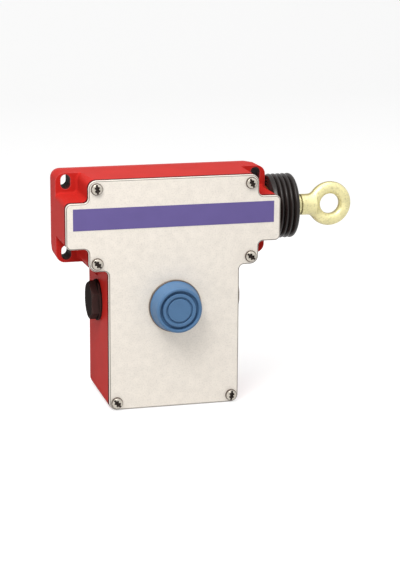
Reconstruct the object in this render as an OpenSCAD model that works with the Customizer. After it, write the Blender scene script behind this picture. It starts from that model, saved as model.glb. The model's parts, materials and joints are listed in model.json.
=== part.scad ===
// Rope pull switch: a T-shaped die-cast box with a flat metal cover. A rope
// hooks into the eye on the right. Pulling it slides a sprung rod whose cam
// works two contacts, and the booted button on the front frees the latch.
// Millimetres. X to the right, front towards -Y, Z up. The origin lies on the
// back face, in the middle of the four fixing slots.

/* [Cover outline] */
// Width across the two arms of the T
arms_w = 132.2; // [128:0.2:140]
// Width of the block between the upper and lower screw lobes
head_w = 104.8; // [100:0.2:108]
// Width of the lower body
stem_w = 81.0; // [78:0.5:84]
// Height of the cover's top edge above the origin
head_top = 28.1; // [27.8:0.1:30]
// Height of the arms' upper edge
arms_top = 14.7; // [13.5:0.1:15.5]
// Height of the arms' lower edge
arms_bottom = -13.1; // [-14:0.1:-12]
// Height of the lower edge of the screw lobes under the arms
head_bottom = -27.1; // [-28:0.1:-25]
// Height of the bottom of the lower body
stem_bottom = -113.9; // [-120:0.5:-110]
// Radius of the four screw lobes
lobe_r = 5.0; // [4.5:0.1:5.2]
// Radius of the arms' outer corners
arm_r = 3.3; // [2.5:0.1:4]
// Radius of the two bottom corners
stem_r = 4.6; // [4.2:0.1:5.2]
// Radius of the hollow corners between arms, head and lower body
inner_r = 3.0; // [2:0.1:4]

/* [Housing] */
// Depth of the casting, from back face to gasket
housing_d = 56.7; // [55:0.1:60]
// Thickness of the side walls
wall = 3.5; // [3:0.1:4]
// Thickness of the back wall
back_t = 3.5; // [3:0.1:4.5]
// Thickness of the four ears, from back face to their front
ear_t = 26; // [22:0.5:27]
// Height of the ears' lower edge
ear_bottom = -28.0; // [-30:0.1:-27.6]
// Radius of the ears' outer corners
ear_r = 5.5; // [4:0.1:6]
// Radius of the hollow fillets between the ears and the box
root_r = 1.5; // [0.8:0.1:2.5]
// Leg of the sloping gusset between an ear and the lower body
gusset = 9.5; // [6:0.5:11]
// Distance of the parting line from the back face
parting_y = 10.5; // [8:0.5:13]
// Draft of the top face from the front to the parting line
draft_top = 1.05; // [0.3:0.05:1.2]
// Draft of the top face behind the parting line
back_draft_top = 1.05; // [0.3:0.05:1.2]
// Draft of the arms' ends behind the parting line
back_draft_side = 1.5; // [0.5:0.1:1.8]
// Draft of the ears' lower faces
draft_bottom = 1.4; // [0.3:0.1:1.6]
// Radius of the bosses that take the cover screws
boss_r = 4.8; // [4.4:0.1:5]

/* [Fixing slots] */
// Distance of the slots from the arms' ends
slot_edge = 6.35; // [5.5:0.05:7]
// Distance between the upper and lower slots
slot_pitch_z = 43.8; // [40:0.2:44.2]
// Width of a slot
slot_w = 6.0; // [5:0.1:6.5]
// Length of a slot, end to end
slot_l = 9.0; // [7:0.1:9.4]
// Depth of the pockets cored into the ears from behind
pocket_d = 10; // [6:0.5:12]
// Width of those pockets
pocket_w = 8; // [6.6:0.2:8.4]
// Height of those pockets
pocket_h = 9; // [8.8:0.1:9.4]

/* [Cover] */
// Thickness of the gasket
gasket_t = 0.8; // [0.5:0.1:1.5]
// How far the gasket's edge stands back from the cover's edge
gasket_in = 0.8; // [0.5:0.1:1.2]
// Thickness of the cover plate
plate_t = 2.5; // [2:0.1:3]
// Length of the coloured band
band_w = 123.6; // [100:0.2:126]
// Height of the coloured band
band_h = 13.1; // [8:0.1:15]
// Height of the band's middle line
band_z = 5.0; // [3:0.1:6]
// Thickness of the band's foil
band_t = 0.15; // [0.1:0.05:0.3]

/* [Cover screws] */
// Thread diameter of the cover screws
screw_d = 4.0; // [3:0.1:4.5]
// Head diameter of the cover screws
screw_head_d = 7.2; // [6:0.1:8]
// Head height of the cover screws
screw_head_h = 2.2; // [1.6:0.1:3]
// Shank length of the cover screws
screw_l = 14; // [10:0.5:20]

/* [Pull rod and eye] */
// Distance of the rod's axis in front of the back face
rod_y = 28; // [25:0.5:31]
// Height of the rod's axis
rod_z = 1.8; // [0.5:0.1:2]
// Diameter of the rod
rod_d = 8; // [6:0.1:8.4]
// Travel of the rod from rest to its outer stop
pull_travel = 12; // [6:0.5:12.5]
// Distance of the eye's centre from the right end of the arms
eye_reach = 41.9; // [39:0.1:46]
// Radius of the circle through the middle of the eye's section
eye_ring_r = 10.1; // [10:0.1:12]
// Radius of the eye's round section
eye_wire_r = 3.9; // [3.5:0.1:4.3]
// Radius of the land bored through the eye
eye_bore_r = 6.4; // [6.3:0.1:7.5]
// Radius of the eye's shank
shank_r = 6.6; // [6:0.1:7.4]
// Radius of the turned neck behind the shank
neck_r = 6.1; // [5.2:0.1:6.1]
// Length of the neck that shows in front of the bellows
neck_show = 2.2; // [1:0.1:3]
// Radius of the fillets between shank and ring
eye_fillet_r = 6.0; // [4:0.5:7]

/* [Bellows and bush] */
// Outer radius of the bellows' ribs
bellows_r = 20.2; // [18:0.1:21]
// Radius at the bottom of the grooves between ribs
groove_r = 18.5; // [17:0.1:18.6]
// Distance from rib to rib
rib_pitch = 3.6; // [3:0.1:4]
// Number of ribs
rib_count = 4; // [3:1:5]
// Length of the domed nose
nose_l = 7.5; // [5:0.1:8]
// Wall of the bellows
bellows_wall = 1.6; // [1:0.1:2.2]
// Outer radius of the bellows' neck
bellows_neck_r = 14.2; // [13.8:0.1:15]
// Radius of the bush's head
bush_head_r = 12.4; // [11:0.1:12.4]
// Length of the bush's head
bush_head_l = 3.0; // [2:0.1:4]
// Radius of the bush's barrel
bush_r = 7.5; // [6.5:0.1:7.8]
// Radius of the round nut on the bush
bush_nut_r = 9.0; // [8.6:0.1:9.1]
// Thickness of that nut
bush_nut_t = 3.2; // [2:0.1:4]

/* [Inside mechanism] */
// Width of a contact block
block_w = 22; // [18:0.5:24]
// Height of a contact block
block_h = 22; // [18:0.5:24]
// Depth of a contact block
block_d = 24; // [20:0.5:25]
// Height of the contact blocks' top
block_top = -14; // [-15:0.5:-13]
// Distance from the middle to the near side of a block
block_gap = 5; // [4:0.5:7]
// Diameter of a contact plunger
plunger_d = 4; // [3:0.1:4.6]
// Rise of the cam's ramps for each millimetre of pull
cam_slope = 0.2; // [0.1:0.02:0.24]
// Height of the cam's lowest face
cam_low = -8; // [-8.6:0.1:-7.5]
// Thickness of the contact rail
rail_t = 2; // [1.5:0.1:3]
// Distance of the rail's front from the back face
rail_y = 14; // [12:0.5:15]
// Height of the rear guide and width of its foot
guide_h = 16; // [14:1:18]
// Thickness of the rear guide
guide_t = 3; // [2:0.5:4]
// Length of the rear guide's foot
guide_foot_l = 7; // [6:0.5:9]
// Thickness of the rear guide's foot
guide_foot_t = 2; // [1.5:0.5:3]
// Half the depth of the cam block
cam_half = 7; // [6:0.5:8]
// Height of the cam block above the rod's axis
cam_above = 8; // [6:0.5:8.5]
// Length of the rod's collar
collar_l = 3; // [2:0.5:4]
// Radius of the rod's collar
collar_r = 7; // [6:0.5:8]
// Radius of the rail's stand-offs
post_r = 3.5; // [3:0.5:4]
// Height of the contact rail
rail_h = 18; // [14:1:20]
// Radius of the main spring's coil, to the wire's middle
spring_r = 7.0; // [6.4:0.1:7.4]
// Radius of the main spring's wire
spring_wire_r = 1.1; // [0.8:0.05:1.2]
// Turns of the main spring
spring_turns = 7; // [5:1:8]
// Radius of the latch pin
pin_r = 1.5; // [1.2:0.1:2]
// Width of the latch lever
lever_w = 5; // [4:0.5:6]
// Thickness of the latch lever
lever_t = 4; // [3:0.5:5]

/* [Entry plugs] */
// Height of the cable entries' axis
entry_z = -52; // [-58:0.5:-50]
// Radius of the entry thread
entry_r = 10.0; // [8:0.1:10.5]
// Radius of the plug's flange
plug_flange_r = 12.8; // [12:0.1:13.5]
// Thickness of the plug's flange
plug_flange_t = 1.2; // [1:0.1:2]
// Width of the plug's hexagon across its flats
plug_hex_w = 21.6; // [18:0.1:22]
// Height of the plug's hexagon
plug_hex_t = 4.5; // [3:0.1:6]
// Thickness of the plug's seal
seal_t = 0.6; // [0.4:0.1:1.5]

/* [Reset button] */
// Height of the button's axis
button_z = -50.3; // [-56:0.1:-48]
// Travel of the button
button_travel = 4; // [2:0.5:4]
// Radius of the bezel under the boot
bezel_r = 16.2; // [15.9:0.1:17]
// Thickness of the bezel
bezel_t = 1.6; // [1:0.1:2]
// Length of the threaded barrel behind the cover's front
barrel_l = 19.5; // [17:0.5:20]
// Thickness of the barrel's end wall
barrel_end = 6; // [4:0.5:8]
// Radius of the threaded barrel through the cover
barrel_r = 10.9; // [10.5:0.1:11.2]
// Wall of the barrel
barrel_wall = 2.4; // [2:0.1:3]
// Thickness of the nut behind the cover
button_nut_t = 4; // [3:0.5:5]
// Radius of that nut's corners
button_nut_r = 15.6; // [14:0.1:17]
// Radius of the boot at its foot
boot_foot_r = 15.6; // [15:0.1:15.8]
// Radius of the boot at its face
boot_face_r = 13.65; // [13:0.05:14.2]
// Height of the boot
boot_h = 11.4; // [10:0.1:13]
// Wall of the boot
boot_wall = 1.6; // [1:0.1:2]
// Radius of the button's stem
stem_rod_r = 5.0; // [4:0.1:5.4]
// Radius of the stem's rounded tip
tip_r = 3.0; // [2:0.1:3.5]

/* [Hidden] */
$fn = 48;
// straight steps in each rounded corner of a loft
corner_steps = 8;

slot_x = arms_w / 2 - slot_edge;

// clearances
fit = 0.05;          // radial clearance of shafts and screws in their bores
touch = 0.3;         // gap left where two moving pieces would just touch
eps = 1;             // overshoot of cuts

// depths, as distances in front of the back face
plate_back = housing_d + gasket_t;
plate_front = plate_back + plate_t;
bezel_front = plate_front + bezel_t;
boot_front = bezel_front + boot_h;

// right end of the arms, and what follows along the rod
arm_end = arms_w / 2;
bellows_start = arm_end + touch;
first_rib = arm_end + 2.1;
last_rib = first_rib + (rib_count - 1) * rib_pitch;
bellows_end = last_rib + nose_l;
eye_x = arm_end + eye_reach;
neck_start = bellows_end - 4;
shank_start = bellows_end + neck_show;

// inside the right arm
nut_x = arm_end - wall - bush_nut_t;
spring_end = nut_x - 0.4 - touch;
plunger_x = block_gap + block_w / 2;
cam_end = plunger_x + 4;
seat_t = 2;
spring_start = cam_end + seat_t + touch;
ramp_before = pull_travel + 3;
ramp_after = 3;
cam_start = -plunger_x - ramp_before - 1;
collar_x = cam_start - collar_l;
guide_x = collar_x - touch;
rod_start = guide_x - guide_t - 3;

// height of a plunger's tip under the ramp
ramp_rise = ramp_before * cam_slope;
plunger_top = cam_low + ramp_rise - touch;

// contact blocks
block_front = rail_y + block_d;
rail_screw_x = block_gap + block_w + 4;
rail_screw_z = block_top - block_h / 2;
screw_bore_r = screw_d / 2 + fit;
small_screw_r = 1.25;

// latch
pivot_y = rail_y + 8;
pivot_z = block_top - 16;
lever_face = pivot_y + lever_t / 2;
tip_y = lever_face + touch + tip_r;
lever_top = cam_low - 1.2;

// cover screws: one in each lobe and bottom corner
screw_points = [
  for (s = [-1, 1])
    each [
      [s * (head_w / 2 - lobe_r), head_top - lobe_r],
      [s * (head_w / 2 - lobe_r), head_bottom + lobe_r],
      [s * (stem_w / 2 - stem_r), stem_bottom + stem_r]
    ]
];

// a flat outline drawn in X and Z, standing from depth y0 to depth y1
module slab(y0, y1) {
  translate([0, -y0, 0])
    rotate([90, 0, 0])
      linear_extrude(y1 - y0) children();
}

// a round bar along Y at x, z, from depth y0 to depth y1
module bar_y(x, z, r, y0, y1) {
  translate([x, -y0, z])
    rotate([90, 0, 0]) cylinder(r = r, h = y1 - y0);
}

// a round bar along X on the rod's axis
module bar_x(r, x0, x1, y = rod_y, z = rod_z) {
  translate([x0, -y, z])
    rotate([0, 90, 0]) cylinder(r = r, h = x1 - x0);
}

// a profile of radius and distance, turned about the rod's axis
module turned_x(x0) {
  translate([x0, -rod_y, rod_z])
    rotate([0, 90, 0]) rotate_extrude() children();
}

// a profile of radius and distance, turned about the button's axis
module turned_y(y0) {
  translate([0, -y0, button_z])
    rotate([90, 0, 0]) rotate_extrude() children();
}

// rectangle with round corners, from low corner to high corner
module round_rect(x0, z0, x1, z1, r) {
  translate([x0 + r, z0]) square([x1 - x0 - 2 * r, z1 - z0]);
  translate([x0, z0 + r]) square([x1 - x0, z1 - z0 - 2 * r]);
  for (x = [x0 + r, x1 - r], z = [z0 + r, z1 - r])
    translate([x, z]) circle(r);
}

// fills the hollow corner at x, z that opens towards sx, sz
module hollow_corner(x, z, sx, sz, r) {
  difference() {
    translate([sx > 0 ? x - eps : x - r, sz > 0 ? z - eps : z - r]) square(r + eps);
    translate([x + sx * r, z + sz * r]) circle(r);
  }
}

// the T of the cover, drawn in by e all round
module t_outline(e = 0) {
  x_head = head_w / 2 - e;
  x_arm = arms_w / 2 - e;
  x_stem = stem_w / 2 - e;
  r = inner_r + e;
  round_rect(-x_head, head_bottom + e, x_head, head_top - e, lobe_r - e);
  round_rect(-x_arm, arms_bottom + e, x_arm, arms_top - e, max(arm_r - e, 0.5));
  round_rect(-x_stem, stem_bottom + e, x_stem, arms_top - e, stem_r - e);
  for (s = [-1, 1]) {
    hollow_corner(s * x_head, arms_top - e, s, 1, r);
    hollow_corner(s * x_head, arms_bottom + e, s, -1, r);
    hollow_corner(s * x_stem, head_bottom + e, s, -1, r);
  }
}

// points of an arc about x, z from the angle a0, in as many steps as round corners get
function arc(x, z, r, a0, turn) =
  [
    for (i = [0 : corner_steps])
      let (a = a0 + turn * i / corner_steps)
        [x + r * cos(a), z + r * sin(a)]
  ];

// right half of the T above the stem, drawn out by e, from the bottom to the top
function half_t(e) =
  concat(
    arc(head_w / 2 - lobe_r, head_bottom + lobe_r, lobe_r + e, -90, 90),
    arc(head_w / 2 + inner_r, arms_bottom - inner_r, inner_r - e, 180, -90),
    arc(arms_w / 2 - arm_r, arms_bottom + arm_r, arm_r + e, -90, 90),
    arc(arms_w / 2 - arm_r, arms_top - arm_r, arm_r + e, 0, 90),
    arc(head_w / 2 + inner_r, arms_top + inner_r, inner_r - e, 270, -90),
    arc(head_w / 2 - lobe_r, head_top - lobe_r, lobe_r + e, 0, 90)
  );

// a ring at the depth y from the points of its right half and their mirror images
function ring(y, half) =
  concat(
    [for (p = half) [p[0], -y, p[1]]],
    [for (i = [len(half) - 1 : -1 : 0]) [-half[i][0], -y, half[i][1]]]
  );

// solid through rings that all have as many points
module loft(rings) {
  n = len(rings[0]);
  last = len(rings) - 1;
  skin = [
    for (k = [0 : last - 1], i = [0 : n - 1])
      let (j = (i + 1) % n)
        each [
          [k * n + i, (k + 1) * n + i, (k + 1) * n + j], [k * n + i, (k + 1) * n + j, k * n + j]
        ]
  ];
  polyhedron(
    [for (r = rings) each r],
    concat([[for (i = [0 : n - 1]) i]], skin, [[for (i = [n - 1 : -1 : 0]) last * n + i]]),
    convexity = 4
  );
}

// height of the drafted top face at the depth y
function top_at(y) =
  y < parting_y
    ? head_top - draft_top - back_draft_top * (1 - y / parting_y)
    : head_top - draft_top * (housing_d - y) / (housing_d - parting_y);

// thick back part with its four ears, and the gussets under them
module ear_block() {
  x_stem = stem_w / 2;
  lap = 3;
  loft([
    for (y = [0, parting_y, ear_t])
      let (
        x = arms_w / 2 - back_draft_side * max(1 - y / parting_y, 0) - ear_r,
        low = ear_bottom + draft_bottom * (1 - y / ear_t) + ear_r
      )
        ring(y, concat(arc(x, low, ear_r, -90, 90), arc(x, top_at(y) - ear_r, ear_r, 0, 90)))
  ]);
  slab(0, ear_t)
    for (s = [-1, 1])
      polygon([
        [s * (x_stem - lap), ear_bottom + lap],
        [s * (x_stem + gusset + lap), ear_bottom + lap],
        [s * x_stem, ear_bottom - gusset],
        [s * (x_stem - lap), ear_bottom - gusset]
      ]);
}

// hollow fillet where the faces of the ears meet the walls of the box
module root_fillet() {
  steps = 4;
  sunk = 0.03;
  lap = 0.5;
  intersection() {
    loft(concat(
      [ring(ear_t - lap, half_t(root_r))],
      [
        for (i = [0 : steps])
          let (a = 90 * i / steps)
            ring(ear_t + root_r * (1 - cos(a)), half_t(root_r * (1 - sin(a)) - sunk))
      ]
    ));
    slab(back_t, ear_t + 2 * root_r)
      round_rect(-arms_w / 2, ear_bottom, arms_w / 2, head_top + ear_r, ear_r);
    drafted();
  }
}

// a profile drawn in Y and Z, run the whole width of the part
module along_x() {
  translate([-arms_w, 0, 0])
    rotate([90, 0, 90]) linear_extrude(2 * arms_w) children();
}

// a vertical slot with round ends
module slot() {
  run = (slot_l - slot_w) / 2;
  for (z = [-run, run]) translate([0, z]) circle(slot_w / 2);
  translate([-slot_w / 2, -run]) square([slot_w, 2 * run]);
}

// keeps what lies under the drafted top face
module drafted() {
  over = 20;
  along_x()
    polygon([
      [0, top_at(0)], [-parting_y, top_at(parting_y)], [-housing_d, head_top],
      [-housing_d, stem_bottom - over], [0, stem_bottom - over]
    ]);
}

// pocket behind a slot, towards the middle of the part; the lower ones run out
module ear_pocket(sx, sz) {
  inner_x = slot_x - slot_w / 2 - 2;
  inner_z = slot_pitch_z / 2 - slot_l / 2 - 2;
  x0 = sx > 0 ? inner_x : -inner_x - pocket_w;
  z0 = sz > 0 ? inner_z : -inner_z - pocket_h - (ear_r + 2);
  z1 = sz > 0 ? inner_z + pocket_h : -inner_z;
  slab(-eps, pocket_d) round_rect(x0, z0, x0 + pocket_w, z1, 1.5);
}

module housing() {
  color([0.78, 0.12, 0.12])
    difference() {
      union() {
        difference() {
          union() {
            intersection() {
              slab(ear_t, housing_d) t_outline();
              drafted();
            }
            slab(0, ear_t)
              round_rect(-stem_w / 2, stem_bottom, stem_w / 2, ear_bottom + ear_r, stem_r);
            ear_block();
            root_fillet();
          }
          slab(back_t, housing_d + eps) t_outline(wall);
        }
        intersection() {
          union() {
            // bosses for the cover screws
            for (p = screw_points) bar_y(p[0], p[1], boss_r, back_t - eps, housing_d);
            // stand-offs for the contact rail
            for (s = [-1, 1])
              bar_y(s * rail_screw_x, rail_screw_z, post_r, back_t - eps, rail_y - rail_t);
            // boss for the earth screw
            bar_y(earth_x, earth_z, boss_r, back_t - eps, earth_y);
            // thickened wall round each cable entry
            for (s = [-1, 1])
              bar_x(entry_r + wall, s > 0 ? entry_in : -x_wall, s > 0 ? x_wall : -entry_in,
                    rod_y, entry_z);
          }
          drafted();
        }
      }
      for (p = screw_points)
        bar_y(p[0], p[1], screw_bore_r, plate_front - screw_l - 1, housing_d + eps);
      for (s = [-1, 1])
        bar_y(s * rail_screw_x, rail_screw_z, small_screw_r + fit,
              rail_y - rail_t - 3, rail_y);
      bar_y(guide_foot_x, rod_z, small_screw_r + fit, 0.5, back_t + eps);
      bar_y(earth_x, earth_z, screw_bore_r, earth_y - 6, earth_y + eps);
      // threaded cable entries
      for (s = [-1, 1])
        bar_x(entry_r, s > 0 ? entry_in - eps : -stem_w / 2 - eps,
              s > 0 ? stem_w / 2 + eps : -entry_in + eps, rod_y, entry_z);
      // bore for the rod's bush
      bar_x(bush_r + fit, arm_end - wall - eps, arm_end + eps);
      // fixing slots
      for (x = [-1, 1], z = [-1, 1])
        translate([x * slot_x, 0, z * slot_pitch_z / 2])
          slab(pocket_d - eps, ear_t + eps) slot();
      for (x = [-1, 1], z = [-1, 1]) ear_pocket(x, z);
    }
}

// inner face of the lower body's wall, and the entries' thickening
x_wall = stem_w / 2 - wall + 0.5;
entry_in = stem_w / 2 - wall - 5.5;
// earth screw near the bottom
earth_x = 26;
earth_z = stem_bottom + 16;
earth_y = 9;
// foot of the rod's inner guide
guide_foot_x = guide_x - guide_t - guide_foot_l / 2;

module cover_gasket() {
  color([0.12, 0.11, 0.11])
    slab(housing_d, plate_back)
      difference() {
        t_outline(gasket_in);
        difference() {
          t_outline(wall);
          for (p = screw_points) translate(p) circle(boss_r);
        }
        for (p = screw_points) translate(p) circle(screw_d / 2 + 0.3);
      }
}

module cover_plate() {
  color([0.88, 0.86, 0.82])
    slab(plate_back, plate_front)
      difference() {
        t_outline();
        for (p = screw_points) translate(p) circle(screw_d / 2 + 0.3);
        translate([0, button_z]) circle(barrel_r + 0.1);
      }
}

module band_label() {
  color([0.40, 0.36, 0.60])
    translate([-band_w / 2, -plate_front - band_t, band_z - band_h / 2])
      cube([band_w, band_t, band_h]);
}

// pan-head screw along Y, its head resting at depth y0
module pan_screw(x, z, y0, r, l, head_r, head_h) {
  difference() {
    union() {
      bar_y(x, z, r, y0 - l, y0);
      intersection() {
        bar_y(x, z, head_r, y0, y0 + head_h);
        translate([x, -y0 - head_h + 2 * head_r, z]) sphere(2 * head_r);
      }
    }
    translate([x - 0.5, -y0 - head_h - eps, z - head_r * 0.55])
      cube([1, eps + head_h * 0.45, head_r * 1.1]);
    translate([x - head_r * 0.55, -y0 - head_h - eps, z - 0.5])
      cube([head_r * 1.1, eps + head_h * 0.45, 1]);
  }
}

module cover_screws() {
  color([0.75, 0.73, 0.68])
    for (p = screw_points)
      pan_screw(p[0], p[1], plate_front, screw_d / 2, screw_l, screw_head_d / 2,
                screw_head_h);
}

// screw-in plug for a cable entry, on the side s
module plug(s) {
  x0 = stem_w / 2 + seal_t;
  x1 = x0 + plug_flange_t;
  color([0.12, 0.10, 0.10])
    translate([0, -rod_y, entry_z])
      rotate([0, s * 90, 0]) {
        translate([0, 0, entry_in + 1]) cylinder(r = entry_r - fit, h = x0 - entry_in - 1);
        translate([0, 0, x0]) cylinder(r = plug_flange_r, h = plug_flange_t);
        translate([0, 0, x1 - 0.5])
          cylinder(r = plug_hex_w / 2 / cos(30), h = plug_hex_t + 0.5, $fn = 6);
      }
}

module plug_seals() {
  color([0.08, 0.08, 0.08])
    for (s = [-1, 1])
      translate([0, -rod_y, entry_z])
        rotate([0, s * 90, 0])
          translate([0, 0, stem_w / 2])
            difference() {
              cylinder(r = plug_flange_r - 0.6, h = seal_t);
              translate([0, 0, -eps]) cylinder(r = entry_r + 0.2, h = seal_t + 2 * eps);
            }
}

// flanged bush that guides the rod through the arm's end wall
module guide_bush() {
  color([0.70, 0.58, 0.30])
    difference() {
      union() {
        bar_x(bush_head_r, arm_end, arm_end + bush_head_l);
        bar_x(bush_r, nut_x - 0.4, arm_end + 0.5);
      }
      bar_x(rod_d / 2 + fit, nut_x - eps, arm_end + bush_head_l + eps);
    }
}

module bush_nut() {
  color([0.70, 0.70, 0.72])
    difference() {
      bar_x(bush_nut_r, nut_x, nut_x + bush_nut_t);
      bar_x(bush_r + fit, nut_x - eps, arm_end);
    }
}

// outer radius of the bellows at the distance h from the arm's end
rib_steps = 10;
function rib_radius(k) = groove_r + (bellows_r - groove_r) * abs(cos(180 * k / rib_steps));
function nose_radius(a, r0, r1) = r0 + (r1 - r0) * pow(max(cos(a), 0), 1.6);

module bellows() {
  h0 = bellows_start - arm_end;
  h1 = first_rib - arm_end;
  h2 = last_rib - arm_end;
  lip_r = neck_r + touch;
  nose_r = lip_r + 1.6;
  in_r = groove_r - bellows_wall;
  outer = [
    for (k = [0 : rib_steps * (rib_count - 1)])
      [rib_radius(k), h1 + rib_pitch * k / rib_steps]
  ];
  nose = [
    for (a = [9 : 9 : 90])
      [nose_radius(a, nose_r, bellows_r), h2 + nose_l * sin(a)]
  ];
  hollow = [
    for (a = [90 : -15 : 0])
      [nose_radius(a, nose_r, in_r), h2 + (nose_l - bellows_wall) * sin(a)]
  ];
  color([0.13, 0.12, 0.12])
    turned_x(arm_end)
      polygon(concat(
        [[bush_head_r + touch, h0], [bellows_neck_r, h0], [bellows_neck_r, h0 + 0.5],
         [groove_r, h1 - 1.3], [bellows_r - 0.7, h1 - 0.7]],
        outer, nose,
        [[lip_r, h2 + nose_l], [lip_r, h2 + nose_l - bellows_wall]],
        hollow,
        [[in_r, h1], [bush_head_r + touch, h1]]
      ));
}

// closed helical wire along local Z, from 0 to the given length
module coil(r, wire_r, turns, length, per_turn, sides) {
  n = turns * per_turn;
  rise = length - 2 * wire_r;
  points = [
    for (i = [0 : n], j = [0 : sides - 1])
      let (a = 360 * i / per_turn, b = 360 * j / sides, q = r + wire_r * cos(b))
        [q * cos(a), q * sin(a), wire_r + rise * i / n + wire_r * sin(b)]
  ];
  function at(i, j) = i * sides + j % sides;
  skin = [
    for (i = [0 : n - 1], j = [0 : sides - 1])
      [at(i, j), at(i, j + 1), at(i + 1, j + 1), at(i + 1, j)]
  ];
  first = [for (j = [sides - 1 : -1 : 0]) at(0, j)];
  last = [for (j = [0 : sides - 1]) at(n, j)];
  polyhedron(points, concat(skin, [first, last]), convexity = 10);
}

module main_spring() {
  color([0.65, 0.65, 0.67])
    translate([spring_start, -rod_y, rod_z])
      rotate([0, 90, 0])
        coil(spring_r, spring_wire_r, spring_turns, spring_end - spring_start, 16, 8);
}

// bracket on the back wall that guides the rod's inner end
module rear_guide() {
  z0 = rod_z - guide_h / 2;
  color([0.66, 0.67, 0.70])
    difference() {
      union() {
        translate([guide_x - guide_t, -rod_y - guide_h / 2, z0])
          cube([guide_t, rod_y + guide_h / 2 - back_t, guide_h]);
        translate([guide_x - guide_t - guide_foot_l, -back_t - guide_foot_t, z0])
          cube([guide_t + guide_foot_l, guide_foot_t, guide_h]);
      }
      bar_x(rod_d / 2 + fit, guide_x - guide_t - eps, guide_x + eps);
      bar_y(guide_foot_x, rod_z, small_screw_r + 0.2, 0, back_t + guide_foot_t + eps);
    }
}

module contact_rail() {
  x = rail_screw_x + post_r;
  color([0.66, 0.67, 0.70])
    slab(rail_y - rail_t, rail_y)
      difference() {
        translate([-x, rail_screw_z - rail_h / 2]) square([2 * x, rail_h]);
        for (s = [-1, 1])
          translate([s * rail_screw_x, rail_screw_z]) circle(small_screw_r + 0.2);
      }
}

module bracket_screws() {
  color([0.75, 0.73, 0.68]) {
    for (s = [-1, 1])
      pan_screw(s * rail_screw_x, rail_screw_z, rail_y, small_screw_r, rail_t + 2.8, 2.6, 1.6);
    pan_screw(guide_foot_x, rod_z, back_t + guide_foot_t, small_screw_r,
              back_t + guide_foot_t - 0.7, 2.6, 1.6);
  }
}

// snap-action contact block on the side s
module contact_block(s) {
  x0 = s > 0 ? block_gap : -block_gap - block_w;
  color([0.86, 0.84, 0.78])
    difference() {
      translate([x0, -block_front, block_top - block_h])
        cube([block_w, block_d, block_h]);
      translate([s * plunger_x, -rod_y, block_top - 11])
        cylinder(r = plunger_d / 2 + fit, h = 11 + eps);
      bar_x(pin_r + fit, s > 0 ? block_gap - eps : -block_gap - 3.2,
            s > 0 ? block_gap + 3.2 : -block_gap + eps, pivot_y, pivot_z);
    }
}

module terminal_screws() {
  color([0.80, 0.70, 0.40])
    for (s = [-1, 1], x = [-block_w / 4, block_w / 4], z = [-block_h / 4, block_h / 4])
      difference() {
        bar_y(s * plunger_x + x, rail_screw_z + z, 2.6, block_front, block_front + 1.2);
        translate([s * plunger_x + x - 3, -block_front - 1.2 - eps, rail_screw_z + z - 0.4])
          cube([6, eps + 0.6, 0.8]);
      }
}

module latch_pin() {
  color([0.75, 0.73, 0.68])
    bar_x(pin_r, -block_gap - 3, block_gap + 3, pivot_y, pivot_z);
}

// bezel and threaded barrel in one piece
module button_collar() {
  barrel_back = plate_front - barrel_l;
  color([0.50, 0.49, 0.48])
    difference() {
      union() {
        bar_y(0, button_z, bezel_r, plate_front, bezel_front);
        bar_y(0, button_z, barrel_r, barrel_back, plate_front + 0.5);
      }
      bar_y(0, button_z, barrel_r - barrel_wall, barrel_back + barrel_end, bezel_front + eps);
      bar_y(0, button_z, stem_rod_r + fit, barrel_back - eps, barrel_back + barrel_end + eps);
    }
}

module button_nut() {
  color([0.20, 0.20, 0.21])
    difference() {
      translate([0, -plate_back, button_z])
        rotate([-90, 0, 0]) cylinder(r = button_nut_r, h = button_nut_t, $fn = 6);
      bar_y(0, button_z, barrel_r + fit, plate_back - button_nut_t - eps, plate_back + eps);
    }
}

// rubber boot with a raised rim, two grooves and a flat middle
module reset_boot() {
  h = boot_h;
  f = boot_face_r;
  color([0.28, 0.44, 0.66])
    turned_y(bezel_front)
      polygon([
        [boot_foot_r - boot_wall, 0], [boot_foot_r, 0], [boot_foot_r, 1.2],
        [f + 0.9, h - 1.9], [f + 0.5, h - 0.7], [f, h - 0.15], [f - 0.6, h],
        [f - 2.0, h], [f - 2.5, h - 1.3], [f - 3.3, h - 1.3], [f - 3.65, h - 0.2],
        [f - 5.4, h - 0.2], [f - 5.8, h - 0.9], [f - 6.6, h - 0.9], [f - 6.95, h - 0.2],
        [0, h - 0.2], [0, h - 0.2 - boot_wall], [f - 3.65, h - 0.2 - boot_wall],
        [f - boot_wall, h - 1.6 - boot_wall]
      ]);
}

module reset_spring() {
  y0 = plate_front - barrel_l + barrel_end + touch;
  color([0.65, 0.65, 0.67])
    translate([0, -y0, button_z])
      rotate([90, 0, 0])
        coil(stem_rod_r + 1.8, 0.6, 6, head_back - touch - y0, 12, 6);
}

// stem of the button, with its disc under the boot
head_back = bezel_front + button_travel + 0.9;
head_front = boot_front - 0.2 - boot_wall - touch;
module button_stem() {
  shoulder = tip_y + 6.5;
  color([0.85, 0.85, 0.82]) {
    bar_y(0, button_z, boot_face_r - 4.2, head_back, head_front);
    bar_y(0, button_z, stem_rod_r, shoulder, head_back + 0.5);
    bar_y(0, button_z, tip_r, tip_y, shoulder + 0.5);
    translate([0, -tip_y, button_z]) sphere(tip_r);
  }
}

module earth_washer() {
  color([0.80, 0.70, 0.40])
    difference() {
      bar_y(earth_x, earth_z, 5.5, earth_y, earth_y + 0.8);
      bar_y(earth_x, earth_z, screw_bore_r + 0.2, earth_y - eps, earth_y + 1 + eps);
    }
}

module earth_screw() {
  color([0.80, 0.70, 0.40])
    pan_screw(earth_x, earth_z, earth_y + 0.8, screw_d / 2, 6.5, 4, 2.6);
}

module pull_rod() {
  color([0.72, 0.72, 0.74]) bar_x(rod_d / 2, rod_start, neck_start);
}

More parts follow.
